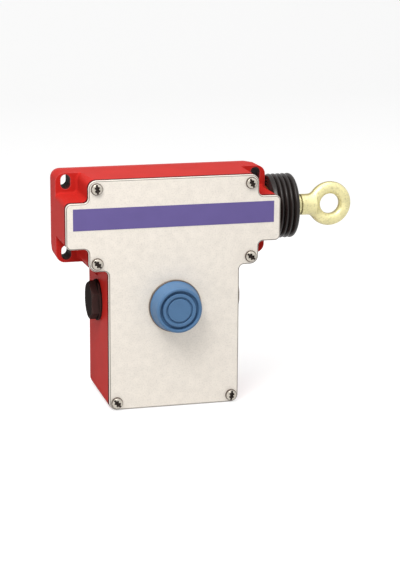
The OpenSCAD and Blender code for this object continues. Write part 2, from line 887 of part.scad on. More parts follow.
module rod_collar() {
  color([0.60, 0.60, 0.62])
    difference() {
      bar_x(collar_r, collar_x, collar_x + collar_l);
      bar_x(rod_d / 2 + fit, collar_x - eps, collar_x + collar_l + eps);
    }
}

// cam block with one ramp over each plunger
module cam() {
  top = rod_z + cam_above;
  rise = (ramp_before + ramp_after) * cam_slope;
  a = -plunger_x - ramp_before;
  b = -plunger_x + ramp_after;
  c = plunger_x - ramp_before;
  d = plunger_x + ramp_after;
  color([0.85, 0.80, 0.70])
    difference() {
      slab(rod_y - cam_half, rod_y + cam_half)
        polygon([
          [cam_start, top], [cam_start, cam_low], [a, cam_low], [b, cam_low + rise],
          [b, cam_low], [c, cam_low], [d, cam_low + rise], [cam_end, cam_low + rise],
          [cam_end, top]
        ]);
      bar_x(rod_d / 2 + fit, cam_start - eps, cam_end + eps);
    }
}

module spring_seat() {
  color([0.60, 0.60, 0.62])
    difference() {
      bar_x(spring_r + 2, cam_end, cam_end + seat_t);
      bar_x(rod_d / 2 + fit, cam_end - eps, cam_end + seat_t + eps);
    }
}

// outline of the web that joins the shank to the ring
module eye_web() {
  ring_r = eye_ring_r + 0.5 * eye_wire_r;
  reach = sqrt(pow(ring_r + eye_fillet_r, 2) - pow(shank_r - 1 + eye_fillet_r, 2));
  difference() {
    translate([-reach, -shank_r - 2.5]) square([reach, 2 * shank_r + 5]);
    for (s = [-1, 1])
      translate([-reach, s * (shank_r - 1 + eye_fillet_r)]) circle(eye_fillet_r);
    circle(eye_ring_r);
  }
}

module pull_eye() {
  shank_end = eye_x - eye_ring_r + 0.5;
  color([0.93, 0.90, 0.62])
    difference() {
      union() {
        bar_x(neck_r, neck_start, shank_start);
        bar_x(shank_r, shank_start, shank_end - 1.5);
        turned_x(shank_end - 1.5)
          polygon([[0, 0], [shank_r, 0], [shank_r - 0.4, 1], [shank_r - 1.5, 1.8], [0, 1.8]]);
        translate([eye_x, -rod_y, rod_z]) {
          rotate([90, 0, 0])
            rotate_extrude() translate([eye_ring_r, 0]) circle(eye_wire_r);
          translate([0, 3, 0]) rotate([90, 0, 0]) linear_extrude(6) eye_web();
        }
      }
      bar_y(eye_x, rod_z, eye_bore_r, rod_y - 10, rod_y + 10);
    }
}

// lever between stem and rod, pivoted on the latch pin
module latch_lever() {
  low = button_z - 6;
  color([0.62, 0.62, 0.65])
    translate([-lever_w / 2, 0, 0])
      difference() {
        rotate([90, 0, 90])
          linear_extrude(lever_w) {
            translate([-lever_face, low]) square([lever_t, lever_top - low]);
            translate([-pivot_y, pivot_z]) circle(lever_t);
            translate([-lever_face - 4, lever_top - 4]) square([5, 4]);
          }
        translate([-eps, -pivot_y, pivot_z])
          rotate([0, 90, 0]) cylinder(r = pin_r + fit, h = lever_w + 2 * eps);
      }
}

module plunger(s) {
  r = plunger_d / 2;
  color([0.80, 0.20, 0.15])
    translate([s * plunger_x, -rod_y, 0]) {
      translate([0, 0, plunger_top - r]) sphere(r);
      translate([0, 0, block_top - 6]) cylinder(r = r, h = plunger_top - r - block_top + 6);
    }
}

housing();
cover_gasket();
cover_plate();
band_label();
cover_screws();
plug(-1);  // left_plug
plug(1);  // right_plug
plug_seals();
guide_bush();
bush_nut();
bellows();
main_spring();
rear_guide();
contact_rail();
bracket_screws();
contact_block(-1);  // contact_block_left
contact_block(1);  // contact_block_right
terminal_screws();
latch_pin();
button_collar();
button_nut();
reset_boot();
reset_spring();
earth_screw();
earth_washer();
pull_rod();
rod_collar();
cam();
spring_seat();
pull_eye();
button_stem();
latch_lever();
plunger(-1);  // plunger_left
plunger(1);  // plunger_right
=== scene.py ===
import json
import math

import bmesh
import bpy
import numpy as np
from mathutils import Euler, Matrix, Vector


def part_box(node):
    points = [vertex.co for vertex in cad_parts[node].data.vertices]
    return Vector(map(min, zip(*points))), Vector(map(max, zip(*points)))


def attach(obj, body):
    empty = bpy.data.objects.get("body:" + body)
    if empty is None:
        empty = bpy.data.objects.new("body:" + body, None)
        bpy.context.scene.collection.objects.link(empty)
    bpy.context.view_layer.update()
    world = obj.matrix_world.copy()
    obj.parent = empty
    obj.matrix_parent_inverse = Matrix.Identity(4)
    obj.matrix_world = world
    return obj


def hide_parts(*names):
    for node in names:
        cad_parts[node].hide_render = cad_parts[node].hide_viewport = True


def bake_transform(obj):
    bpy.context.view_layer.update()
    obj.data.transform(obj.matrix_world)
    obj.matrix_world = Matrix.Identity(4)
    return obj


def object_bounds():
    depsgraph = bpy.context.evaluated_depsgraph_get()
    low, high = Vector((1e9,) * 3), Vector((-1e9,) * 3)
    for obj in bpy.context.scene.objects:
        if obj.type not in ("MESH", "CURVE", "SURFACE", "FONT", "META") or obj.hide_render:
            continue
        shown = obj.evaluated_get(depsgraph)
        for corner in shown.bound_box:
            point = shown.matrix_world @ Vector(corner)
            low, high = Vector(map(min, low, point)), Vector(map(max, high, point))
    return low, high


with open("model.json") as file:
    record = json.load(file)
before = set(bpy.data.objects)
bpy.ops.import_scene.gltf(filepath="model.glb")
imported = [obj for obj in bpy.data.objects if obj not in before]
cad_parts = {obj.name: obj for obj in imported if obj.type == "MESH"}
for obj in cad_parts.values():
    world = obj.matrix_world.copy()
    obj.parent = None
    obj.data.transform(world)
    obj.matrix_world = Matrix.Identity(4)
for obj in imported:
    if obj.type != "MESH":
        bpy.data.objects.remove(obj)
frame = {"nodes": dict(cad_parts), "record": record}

MM = 0.001
cad_box = [list(v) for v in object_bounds()]

# ---------------------------------------------------------------------------
# Housing: a die-cast box of light alloy, powder coated in safety red. Its ears
# carry the fixing slots. The coating rounds every edge a little. A paler red on
# edges and creases is a painted highlight, and the red is painted dark deep in the
# slots and along the front edge by the cover's seal line, as painted shade.
# ---------------------------------------------------------------------------
bevel_samples = 12
slow_noise = (0.3, 0.7)
speck_noise = (0.30, 0.50)
turned_fade_in, turned_fade_out = 0.2, 0.08
edge_full, edge_none = 0.80, 0.995
roughness_spread, least_roughness = 0.07, 0.02
bump_height = 0.2 * MM


def box(name):
    """Lowest and highest corner of a CAD node as two arrays, in metres."""
    low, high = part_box(name)
    return np.array(low), np.array(high)


def operate(tree, operation, *values):
    """One Math node; each value is a number or a socket. Returns its output socket."""
    node = tree.nodes.new("ShaderNodeMath")
    node.operation = operation
    for socket, value in zip(node.inputs, values):
        if isinstance(value, (int, float)):
            socket.default_value = value
        else:
            tree.links.new(value, socket)
    return node.outputs["Value"]


def bevelled(tree, radius):
    """Normal of the surface with its edges rounded to the radius in metres."""
    node = tree.nodes.new("ShaderNodeBevel")
    node.samples = bevel_samples
    node.inputs["Radius"].default_value = radius
    return node.outputs["Normal"]


def blend_colour(tree, factor, first, second):
    """Colour first where factor is 0 and second, an RGB triple, where it is 1."""
    mix = tree.nodes.new("ShaderNodeMix")
    mix.data_type = "RGBA"
    mix.inputs["B"].default_value = (*second, 1.0)
    tree.links.new(factor, mix.inputs["Factor"])
    tree.links.new(first, mix.inputs["A"])
    return mix.outputs["Result"]


def noise(tree, vector, scale, detail):
    """Noise value of the given scale per metre over the object's coordinates."""
    node = tree.nodes.new("ShaderNodeTexNoise")
    node.inputs["Scale"].default_value = scale
    node.inputs["Detail"].default_value = detail
    tree.links.new(vector, node.inputs["Vector"])
    return node.outputs["Fac"]


def ranged(tree, value, from_low, from_high, to_low, to_high):
    """Value carried from one range to another, held at the ends."""
    node = tree.nodes.new("ShaderNodeMapRange")
    for name, number in (("From Min", from_low), ("From Max", from_high),
                         ("To Min", to_low), ("To Max", to_high)):
        node.inputs[name].default_value = number
    tree.links.new(value, node.inputs["Value"])
    return node.outputs["Result"]


def finish(name, colour, roughness, metallic=0.0, specular=0.5, vary=0.06, vary_scale=40,
           relief=0.0, relief_scale=900, grain=0.0, grain_scale=1100, round_edges=0.0,
           turned=None, painted_shade_zones=(), painted_shade_colour=(0, 0, 0), edges=None, highlight_width=0.0):
    """A finish over the object's coordinates.

    The colour is scaled by 1 - vary .. 1 + vary with slow noise, and darkened in fine
    specks by grain. relief is the height of a fine bump. round_edges is the radius in
    metres to which sharp edges are shaded. turned is (colour, low, high): the surface
    takes that colour where its normal's |y| lies between low and high, as painted shade
    on faces turned aside from the front. edges is a paler colour painted within
    highlight_width of an edge or a crease, as a painted highlight. painted_shade_zones
    are (centre, half size) boxes over |x|, y and |z| in metres painted in
    painted_shade_colour, as painted shade."""
    mat = bpy.data.materials.new(name)
    mat.use_nodes = True
    tree = mat.node_tree
    shader = tree.nodes["Principled BSDF"]
    shader.inputs["Metallic"].default_value = metallic
    shader.inputs["Specular IOR Level"].default_value = specular
    place = tree.nodes.new("ShaderNodeTexCoord").outputs["Object"]
    ramp = tree.nodes.new("ShaderNodeValToRGB")
    for element, position, share in zip(ramp.color_ramp.elements, slow_noise,
                                        (1 - vary, 1 + vary)):
        element.position = position
        element.color = [min(c * share, 1.0) for c in colour] + [1.0]
    tree.links.new(noise(tree, place, vary_scale, 4.0), ramp.inputs["Fac"])
    tint = ramp.outputs["Color"]
    if grain:
        specks = ranged(tree, noise(tree, place, grain_scale, 2.0), *speck_noise,
                        1 - grain, 1)
        shade = tree.nodes.new("ShaderNodeVectorMath")
        shade.operation = "SCALE"
        tree.links.new(tint, shade.inputs[0])
        tree.links.new(specks, shade.inputs["Scale"])
        tint = shade.outputs["Vector"]
    # turned paints the given colour on faces by the direction of their normal: painted shade.
    if turned:
        other, least, most = turned
        normal = tree.nodes.new("ShaderNodeSeparateXYZ")
        tree.links.new(tree.nodes.new("ShaderNodeNewGeometry").outputs["Normal"],
                       normal.inputs["Vector"])
        facing = operate(tree, "ABSOLUTE", normal.outputs["Y"])
        inside = operate(
            tree, "MULTIPLY", ranged(tree, facing, least, least + turned_fade_in, 0, 1),
            ranged(tree, facing, most - turned_fade_out, most, 1, 0))
        tint = blend_colour(tree, inside, tint, other)
    # Paler colour near edges and creases, found from the bevelled normal: a painted highlight.
    if edges:
        along = tree.nodes.new("ShaderNodeVectorMath")
        along.operation = "DOT_PRODUCT"
        tree.links.new(bevelled(tree, highlight_width), along.inputs[0])
        tree.links.new(tree.nodes.new("ShaderNodeNewGeometry").outputs["True Normal"],
                       along.inputs[1])
        share = ranged(tree, along.outputs["Value"], edge_full, edge_none, 1, 0)
        tint = blend_colour(tree, share, tint, edges)
    # Darker colour inside the given boxes: painted shade.
    if painted_shade_zones:
        axes = tree.nodes.new("ShaderNodeSeparateXYZ")
        tree.links.new(place, axes.inputs["Vector"])
        sides = (operate(tree, "ABSOLUTE", axes.outputs["X"]), axes.outputs["Y"],
                 operate(tree, "ABSOLUTE", axes.outputs["Z"]))
        anywhere = 0.0
        for centre, half in painted_shade_zones:
            within = 1.0
            for side, middle, reach in zip(sides, centre, half):
                near = operate(tree, "COMPARE", side, float(middle), float(reach))
                within = operate(tree, "MULTIPLY", near, within)
            anywhere = operate(tree, "MAXIMUM", within, anywhere)
        tint = blend_colour(tree, anywhere, tint, painted_shade_colour)
    tree.links.new(tint, shader.inputs["Base Color"])
    fine = noise(tree, place, relief_scale, 3.0)
    smoothest = max(roughness - roughness_spread, least_roughness)
    tree.links.new(ranged(tree, fine, 0, 1, smoothest, roughness + roughness_spread),
                   shader.inputs["Roughness"])
    if relief:
        bump = tree.nodes.new("ShaderNodeBump")
        bump.inputs["Strength"].default_value = relief
        bump.inputs["Distance"].default_value = bump_height
        tree.links.new(fine, bump.inputs["Height"])
        tree.links.new(bump.outputs["Normal"], shader.inputs["Normal"])
        if round_edges:
            tree.links.new(bevelled(tree, round_edges), bump.inputs["Normal"])
    return mat


def dress(material, *names):
    """Gives CAD nodes a material and returns the last node's object."""
    for name in names:
        for slot in frame["nodes"][name].material_slots:
            slot.material = material
    return frame["nodes"][names[-1]]


# Boxes for the painted shade deep in the fixing slots and in a strip along the housing's front
# edge, where it meets the cover's seal.
fixing = next(m for m in frame["record"]["mounts"] if m["name"] == "fixing_slots_right")
slot_pitch = fixing["dims"]["spacing_y_mm"] * MM
slot_middle_y, slot_reach_y = -17.0 * MM, 8.8 * MM
slot_half = np.array([fixing["dims"]["hole_r_mm"] * MM, slot_reach_y,
                      fixing["dims"]["slot_length_mm"] / 2 * MM])
slot_centre = (fixing["pos_m"][0], slot_middle_y, slot_pitch / 2)
slot_margin = 0.05 * MM
housing_front = box("housing")[0][1]
front_shade_strip = (1.0, 1.3 * MM, 1.0)
# The paler red on edges and creases is a painted highlight; the zones are painted shade.
red_paint = finish(
    "red_paint", (0.50, 0.023, 0.018), 0.42, specular=0.008, vary=0.05, vary_scale=60,
    relief=0.10, relief_scale=2200, round_edges=0.4 * MM, edges=(0.60, 0.085, 0.085),
    highlight_width=0.9 * MM, painted_shade_colour=(0.09, 0.008, 0.009),
    painted_shade_zones=[(slot_centre, slot_half + slot_margin),
           ((0.0, housing_front, 0.0), front_shade_strip)])
dress(red_paint, "housing")

# ---------------------------------------------------------------------------
# Cover: a flat plate of satin metal with blunt edges, on a black rubber sheet.
# A thin plain violet foil is glued across its arms.
# ---------------------------------------------------------------------------
weld_distance = 0.002 * MM
flat_under, sharp_over = math.radians(0.3), math.radians(40)


def blunt(node, width, segments=3):
    """Bevels a CAD node's sharp edges after its triangles have become whole faces."""
    node.modifiers.new("weld", "WELD").merge_threshold = weld_distance
    whole = node.modifiers.new("whole faces", "DECIMATE")
    whole.decimate_type = "DISSOLVE"
    whole.angle_limit = flat_under
    bevel = node.modifiers.new("bevel", "BEVEL")
    bevel.width = width
    bevel.segments = segments
    bevel.limit_method = "ANGLE"
    bevel.angle_limit = sharp_over
    bevel.use_clamp_overlap = False
    normals = node.modifiers.new("normals", "WEIGHTED_NORMAL")
    normals.weight = 60
    normals.thresh = 0.01


black_sheet = finish("black_sheet", (0.012, 0.011, 0.011), 0.7, specular=0.2, relief=0.1)
# The grey on the plate's bevelled rim, where the normal's |y| is 0.55 to 0.995, is painted
# shade.
satin_metal = finish(
    "satin_metal", (0.80, 0.745, 0.675), 0.50, metallic=0.25, specular=0.35, vary=0.04,
    vary_scale=260, relief=0.05, grain=0.10, turned=((0.22, 0.20, 0.18), 0.55, 0.995))
violet_foil = finish("violet_foil", (0.125, 0.095, 0.285), 0.42, specular=0.3, vary=0.04,
                     vary_scale=80, relief=0.04, relief_scale=1800)
dress(black_sheet, "cover_gasket", "plug_seals")
blunt(dress(satin_metal, "cover_plate"), 1.1 * MM, segments=5)
dress(violet_foil, "band_label")

# ---------------------------------------------------------------------------
# Cover screws: zinc plated pan heads with a cross recess and a longer shallow
# slot across it, each left at another angle, as they were driven.
# ---------------------------------------------------------------------------
smooth_under = 32


def surface(name, grid, material, sharp=smooth_under, closed_rows=False):
    """A mesh from a grid of points, rows by columns, whose columns close on themselves.

    Face (i, j) joins the points (i, j), (i, j+1), (i+1, j+1), (i+1, j), columns modulo
    their number. Points that fall together, such as a pole's, are merged. Edges over
    sharp degrees stay crisp."""
    rows, columns = grid.shape[:2]
    index = np.arange(rows * columns).reshape(rows, columns)
    if closed_rows:
        index = np.vstack([index, index[:1]])
    index = np.hstack([index, index[:, :1]])
    quads = np.stack([index[:-1, :-1], index[:-1, 1:], index[1:, 1:], index[1:, :-1]], axis=-1)
    return solid(name, grid.reshape(-1, 3), quads.reshape(-1, 4), material, sharp)


def solid(name, verts, faces, material, sharp=smooth_under):
    """A closed object from arrays of points and faces, merged and facing outwards."""
    mesh = bpy.data.meshes.new(name)
    mesh.from_pydata(verts.tolist(), [], faces.tolist())
    bm = bmesh.new()
    bm.from_mesh(mesh)
    bmesh.ops.remove_doubles(bm, verts=bm.verts, dist=1e-7)
    bmesh.ops.recalc_face_normals(bm, faces=bm.faces)
    bm.to_mesh(mesh)
    bm.free()
    mesh.materials.append(material)
    piece = bpy.data.objects.new(name, mesh)
    bpy.context.scene.collection.objects.link(piece)
    crisp(piece, sharp)
    return piece


def crisp(piece, angle):
    """Smooth faces, with the edges over the angle in degrees left sharp."""
    with bpy.context.temp_override(object=piece, active_object=piece,
                                   selected_objects=[piece]):
        bpy.ops.object.shade_smooth_by_angle(angle=math.radians(angle))


def lathe(profile, centre, axis, count=160):
    """Grid of a turned shape: point (i, j) = centre + h_i A + r_i (cos a_j U + sin a_j V).

    profile holds (r, h) in metres; a_j runs once round the axis A."""
    axis = np.array(axis, float)
    side = np.array([0.0, 0.0, 1.0]) if abs(axis[2]) < 0.9 else np.array([1.0, 0.0, 0.0])
    angle = np.arange(count) * 2 * math.pi / count
    ring = np.cos(angle)[:, None] * side + np.sin(angle)[:, None] * np.cross(axis, side)
    r, h = np.array(profile, float).T
    return np.array(centre) + h[:, None, None] * axis + r[:, None, None] * ring


def eased(points, radii, steps=4):
    """Polyline whose inner corners are eased by the curves
    (1-t)^2 A + 2t(1-t) P + t^2 B, with A and B on the legs at the radius from P."""
    points = np.array(points, float)
    radii = np.broadcast_to(radii, len(points))
    t = np.linspace(0, 1, steps + 1)[:, None]
    out = [points[:1]]
    for before, p, after, r in zip(points, points[1:], points[2:], radii[1:]):
        la, lb = np.linalg.norm(before - p), np.linalg.norm(after - p)
        a = p + (before - p) * min(r / la, 0.45)
        b = p + (after - p) * min(r / lb, 0.45)
        out.append((1 - t) ** 2 * a + 2 * t * (1 - t) * p + t**2 * b)
    return np.vstack(out + [points[-1:]])


def cut(piece, cutter):
    """Takes a closed cutter, with its own material on the cut faces, out of the piece."""
    modifier = piece.modifiers.new("cut", "BOOLEAN")
    modifier.operation = "DIFFERENCE"
    modifier.solver = "EXACT"
    modifier.use_self = True
    modifier.material_mode = "TRANSFER"
    modifier.object = cutter
    graph = bpy.context.evaluated_depsgraph_get()
    made = bpy.data.meshes.new_from_object(piece.evaluated_get(graph))
    piece.modifiers.clear()
    piece.data = made
    bpy.data.objects.remove(cutter)


# The dark brown on the heads' sides, where the normal's |y| is under 0.62, is painted shade.
bright_zinc = finish("bright_zinc", (0.50, 0.46, 0.40), 0.36, metallic=0.6, vary=0.10,
                     vary_scale=400, relief=0.08, relief_scale=2500,
                     turned=((0.10, 0.075, 0.06), -0.2, 0.62))
# The recess faces are painted near black, as painted shade.
painted_recess_shade = finish("painted_recess_shade", (0.045, 0.034, 0.028), 0.6, metallic=0.3, specular=0.2,
                     vary=0.2, vary_scale=900, relief=0.1)
screw_low, screw_high = box("cover_screws")
plate_front = box("cover_plate")[0][1]
head_r = 3.6 * MM
head_h, head_sides = plate_front - screw_low[1], 72
head_profile = eased([(0, 1), (0.50, 0.985), (0.84, 0.80), (1.0, 0.38), (1.0, 0), (0, 0)],
                     [0, .10, .12, .06, .03, 0], 5) * (head_r, head_h)
side_x, side_top = screw_high[0] - head_r, screw_high[2] - head_r
side_low, foot_x, foot_z = -22.1 * MM, 35.9 * MM, screw_low[2] + head_r
recess_bars = ((4.3, 1.35, 1.7, 0), (4.3, 1.35, 1.7, 90), (7.8, 1.45, 1.15, 45))
floor_length, floor_width, recess_over = 0.6, 0.75, 0.5 * MM
screw_places = [(-side_x, side_top, 38), (side_x, side_top, 20), (-side_x, side_low, 2),
                (side_x, side_low, -8), (-foot_x, foot_z, 4), (foot_x, foot_z, 52)]
for number, (x, z, turn) in enumerate(screw_places, 1):
    head = surface(f"screw_head_{number}",
                   lathe(head_profile, (x, plate_front, z), (0, -1, 0), head_sides),
                   bright_zinc)
    bm = bmesh.new()
    for length, width, depth, angle in recess_bars:
        spin = Matrix.Rotation(math.radians(angle + turn), 4, "Y")
        for v in bmesh.ops.create_cube(bm, size=1.0)["verts"]:
            deep = v.co.y > 0
            across = Vector((v.co.x * length * (floor_length if deep else 1.0), 0,
                             v.co.z * width * (floor_width if deep else 1.0)))
            v.co = spin @ (across * MM) + Vector((x, screw_low[1], z))
            v.co.y += depth * MM if deep else -recess_over
    bmesh.ops.recalc_face_normals(bm, faces=bm.faces)
    bars = bpy.data.objects.new("recess", bpy.data.meshes.new("recess"))
    bm.to_mesh(bars.data)
    bm.free()
    bars.data.materials.append(painted_recess_shade)
    bpy.context.scene.collection.objects.link(bars)
    cut(head, bars)
    crisp(head, smooth_under)
    if number == 1:
        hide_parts("cover_screws")
    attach(head, "box")

# ---------------------------------------------------------------------------
# Entry plugs: moulded black plastic, screwed into the cable entries. A round
# flange carries a hexagon head, r(a) = flat / cos(a mod 60 - 30) in degrees,
# whose corners are cut back at its end.
# ---------------------------------------------------------------------------
# The near black on faces that look sideways, such as the hexagon's end, is painted shade; the
# paler colour along edges is a painted highlight.
black_plastic = finish("black_plastic", (0.060, 0.036, 0.034), 0.45, specular=0.002,
                       turned=((0.011, 0.006, 0.005), -0.2, 0.42),
                       edges=(0.17, 0.12, 0.11), highlight_width=0.3 * MM,
                       vary=0.15, vary_scale=90, relief=0.08, relief_scale=2000)
hex_flat = 21.6 / 2 * MM
hex_corner = hex_flat / math.cos(math.pi / 6)
hex_foot, hex_chamfer, corner_trim = 0.4 * MM, 0.9 * MM, 0.15 * MM
end_outer_r, end_inner_r = hex_flat + 0.25 * MM, hex_flat - 0.35 * MM
flange_back, flange_t = box("plug_seals")[1][0], 1.2 * MM
flange_step, flange_ease = 0.15 * MM, 0.3 * MM
plug_shank_r, plug_shank_l = 9.9 * MM, 3 * MM
plug_sides = 120
for name, side in (("left_plug", -1), ("right_plug", 1)):
    low, high = box(name)
    y, z = (low[1] + high[1]) / 2, (low[2] + high[2]) / 2
    end = max(abs(low[0]), abs(high[0]))
    flange_r = (high[2] - low[2]) / 2
    flange_front = flange_back + flange_t
    shank_end = flange_back - plug_shank_l
    profile = eased([(0, shank_end), (plug_shank_r, shank_end),
                     (plug_shank_r, flange_back), (flange_r, flange_back),
                     (flange_r, flange_front), (hex_flat, flange_front + flange_step),
                     (0, flange_front + flange_step)], flange_ease, 3)
    plug = surface(name + "_flange", lathe(profile, (0, y, z), (side, 0, 0), plug_sides),
                   black_plastic)
    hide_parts(name)
    angle = np.arange(plug_sides) * 2 * math.pi / plug_sides
    six_sided = hex_flat / np.cos(angle % (math.pi / 3) - math.pi / 6)
    six_sided = np.minimum(six_sided, hex_corner - corner_trim)
    foot = flange_front - hex_foot
    height = np.array([foot, foot, end - hex_chamfer, end, end, end])
    limit = np.array([0.0, hex_corner, hex_corner, end_outer_r, end_inner_r, 0.0])
    radius = np.minimum(six_sided[None, :], limit[:, None])
    grid = np.stack([np.broadcast_to(side * height[:, None], radius.shape),
                     y + radius * np.sin(angle), z + radius * np.cos(angle)], axis=-1)
    hexagon = surface(name + "_hexagon", grid, black_plastic, sharp=12)
    for piece in (plug, hexagon):
        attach(piece, "box")

# ---------------------------------------------------------------------------
# Pieces inside the box, seen only when it is open: turned and plated steel,
# brass, ivory contact blocks and the red plungers.
# ---------------------------------------------------------------------------
turned_steel = finish("turned_steel", (0.55, 0.55, 0.56), 0.35, metallic=0.95,
                      vary_scale=300, relief=0.05, relief_scale=1500)
brass = finish("brass", (0.62, 0.46, 0.18), 0.35, metallic=0.95, vary_scale=300,
               relief=0.05, relief_scale=1500)
ivory_plastic = finish("ivory_plastic", (0.70, 0.66, 0.56), 0.5, vary=0.04, relief=0.05)
red_plastic = finish("red_plastic", (0.55, 0.05, 0.03), 0.45, vary=0.04, relief=0.05)
dress(brass, "guide_bush", "terminal_screws", "earth_screw", "earth_washer")
dress(turned_steel, "bush_nut", "rear_guide", "contact_rail", "bracket_screws",
      "latch_pin", "pull_rod", "rod_collar", "spring_seat", "latch_lever")
dress(ivory_plastic, "contact_block_left", "contact_block_right", "cam", "button_stem")
dress(red_plastic, "plunger_left", "plunger_right")
dress(black_plastic, "button_nut")

# ---------------------------------------------------------------------------
# Springs: coiled steel wire, the main one round the rod and the small one under
# the button.
# ---------------------------------------------------------------------------
def coil(start, axis, length, outer_r, wire_r, turns, per_turn=40, sides=12):
    """Grid of a coil: the centre line C(a) = start + (w + k a) A + R (cos a U + sin a V),
    and round it C + w cos b (cos a U + sin a V) + w sin b A, with both ends closed."""
    axis = np.array(axis, float)
    u = np.array([0.0, 0.0, 1.0])
    a = np.linspace(0, turns * 2 * math.pi, turns * per_turn + 1)[:, None, None]
    b = (np.arange(sides) * 2 * math.pi / sides)[None, :, None]
    out = np.cos(a) * u + np.sin(a) * np.cross(axis, u)
    rise = wire_r + (length - 2 * wire_r) * a / a.max()
    line = np.array(start) + rise * axis + (outer_r - wire_r) * out
    skin = line + wire_r * (np.cos(b) * out + np.sin(b) * axis)
    ends = np.broadcast_to(line[[0, -1]], (2, sides, 3))
    return np.concatenate([ends[:1], skin, ends[1:]])


main_wire_r, main_turns = 1.1 * MM, 7
reset_wire_r, reset_turns = 0.6 * MM, 6
low, high = box("main_spring")
middle = (low + high) / 2
spring = surface("main_spring_wire",
                 coil((low[0], middle[1], middle[2]), (1, 0, 0), high[0] - low[0],
                      (high[2] - low[2]) / 2, main_wire_r, main_turns), turned_steel)
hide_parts("main_spring")
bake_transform(spring)
low, high = box("reset_spring")
middle = (low + high) / 2
spring = surface("reset_spring_wire",
                 coil((middle[0], high[1], middle[2]), (0, -1, 0), high[1] - low[1],
                      (high[2] - low[2]) / 2, reset_wire_r, reset_turns), turned_steel)
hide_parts("reset_spring")
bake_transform(spring)

# ---------------------------------------------------------------------------
# Bellows: black moulded rubber between the arm's end and the eye's neck. Its ribs
# follow the radius r(t) = groove + (rib - groove) |cos(pi t)|^0.75, and its back
# face has rings.
# ---------------------------------------------------------------------------
black_rubber = finish("black_rubber", (0.016, 0.012, 0.011), 0.32, specular=0.30,
                      vary=0.15, vary_scale=70, relief=0.06, relief_scale=1600)
low, high = box("bellows")
axis_y, axis_z = (low[1] + high[1]) / 2, (low[2] + high[2]) / 2
bellows_back, bellows_end = low[0] - 0.25 * MM, high[0]
rib_r = (high[2] - low[2]) / 2 - 0.05 * MM
groove_r = rib_r - 1.9 * MM
rib_first, rib_last, rib_count = bellows_back + 2.3 * MM, bellows_end - 5.7 * MM, 4
rib_pitch = (rib_last - rib_first) / rib_count
rib_steps, groove_sharpness = 16, 0.75
mouth_r, mouth_lip_r = 12.75 * MM, 13.1 * MM
back_inner_r, back_outer_r, back_steps = 13.3 * MM, rib_r - 0.6 * MM, 40
back_depth, ring_height, ring_count, ring_sharpness = 1.05 * MM, 0.95 * MM, 3, 0.6
bead_r, bead_end = 2.1 * MM, math.radians(75)
neck_hole_r = 6.35 * MM
wall_r, bellows_sides = 16.0 * MM, 192
back_r = np.linspace(back_inner_r, back_outer_r, back_steps)
rings = np.abs(np.sin(np.linspace(0, ring_count * math.pi, back_steps))) ** ring_sharpness
back_face = np.stack([back_r, bellows_back + back_depth - ring_height * rings], axis=1)
t = np.linspace(0, rib_count, rib_count * rib_steps + 1)
crests = np.abs(np.cos(math.pi * t)) ** groove_sharpness
ribs = np.stack([groove_r + (rib_r - groove_r) * crests, rib_first + rib_pitch * t], axis=1)
a = np.linspace(0, bead_end, 12)[1:]
nose = np.vstack([np.stack([rib_r - bead_r * (1 - np.cos(a)),
                            rib_last + bead_r * np.sin(a)], axis=1),
                  [(neck_hole_r + 2.6 * MM, bellows_end - 0.7 * MM),
                   (neck_hole_r + 1.2 * MM, bellows_end - 0.02 * MM)]])
mouth = np.array([(mouth_r, bellows_back + 0.02 * MM),
                  (mouth_lip_r, bellows_back + 0.02 * MM)])
inner = np.array([(neck_hole_r + 0.3 * MM, bellows_end - 0.1 * MM),
                  (neck_hole_r, bellows_end - 0.5 * MM),
                  (neck_hole_r, bellows_end - 1.6 * MM), (9.0 * MM, bellows_end - 2.2 * MM),
                  (13.6 * MM, bellows_end - 4.6 * MM), (wall_r, bellows_end - 8.0 * MM),
                  (wall_r, bellows_back + 2.6 * MM), (mouth_r, bellows_back + 2.4 * MM)])
profile = np.vstack([mouth, back_face, ribs, nose, inner])
bellows = surface("bellows_rubber",
                  lathe(profile, (0, axis_y, axis_z), (1, 0, 0), bellows_sides),
                  black_rubber, sharp=75, closed_rows=True)
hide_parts("bellows")
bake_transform(bellows)

# ---------------------------------------------------------------------------
# Rope eye: forged steel, zinc plated and yellow passivated, and painted a darker
# olive in its bore and round its rim as painted shade. The ring flows into a round
# shank with a turned neck behind.
# ---------------------------------------------------------------------------
# The darker olive on faces whose normal's |y| is under 0.42, in the bore and round the rim, is
# painted shade.
yellow_zinc = finish("yellow_zinc", (0.84, 0.77, 0.41), 0.40, metallic=0.45, specular=0.4,
                     vary=0.10, vary_scale=160, relief=0.25, grain=0.22, grain_scale=900,
                     turned=((0.42, 0.35, 0.14), -0.2, 0.42))
low, high = box("pull_eye")
ring_outer = (high[2] - low[2]) / 2
wire_r = 3.9 * MM
ring_r = ring_outer - wire_r
eye_x = high[0] - ring_outer
bore_r = next(m for m in frame["record"]["mounts"] if m["name"] == "rope_eye")
bore_r = bore_r["dims"]["r_mm"] * MM
neck_back, neck_r = low[0], 6.1 * MM
shank_back, shank_r, shank_ease = bellows_end + 2.2 * MM, 6.6 * MM, 0.35 * MM
flow, side_squeeze, ring_inset = 2.0 * MM, 1.03, 0.2 * MM
net_step, net_room = 0.42 * MM, 1.5 * MM


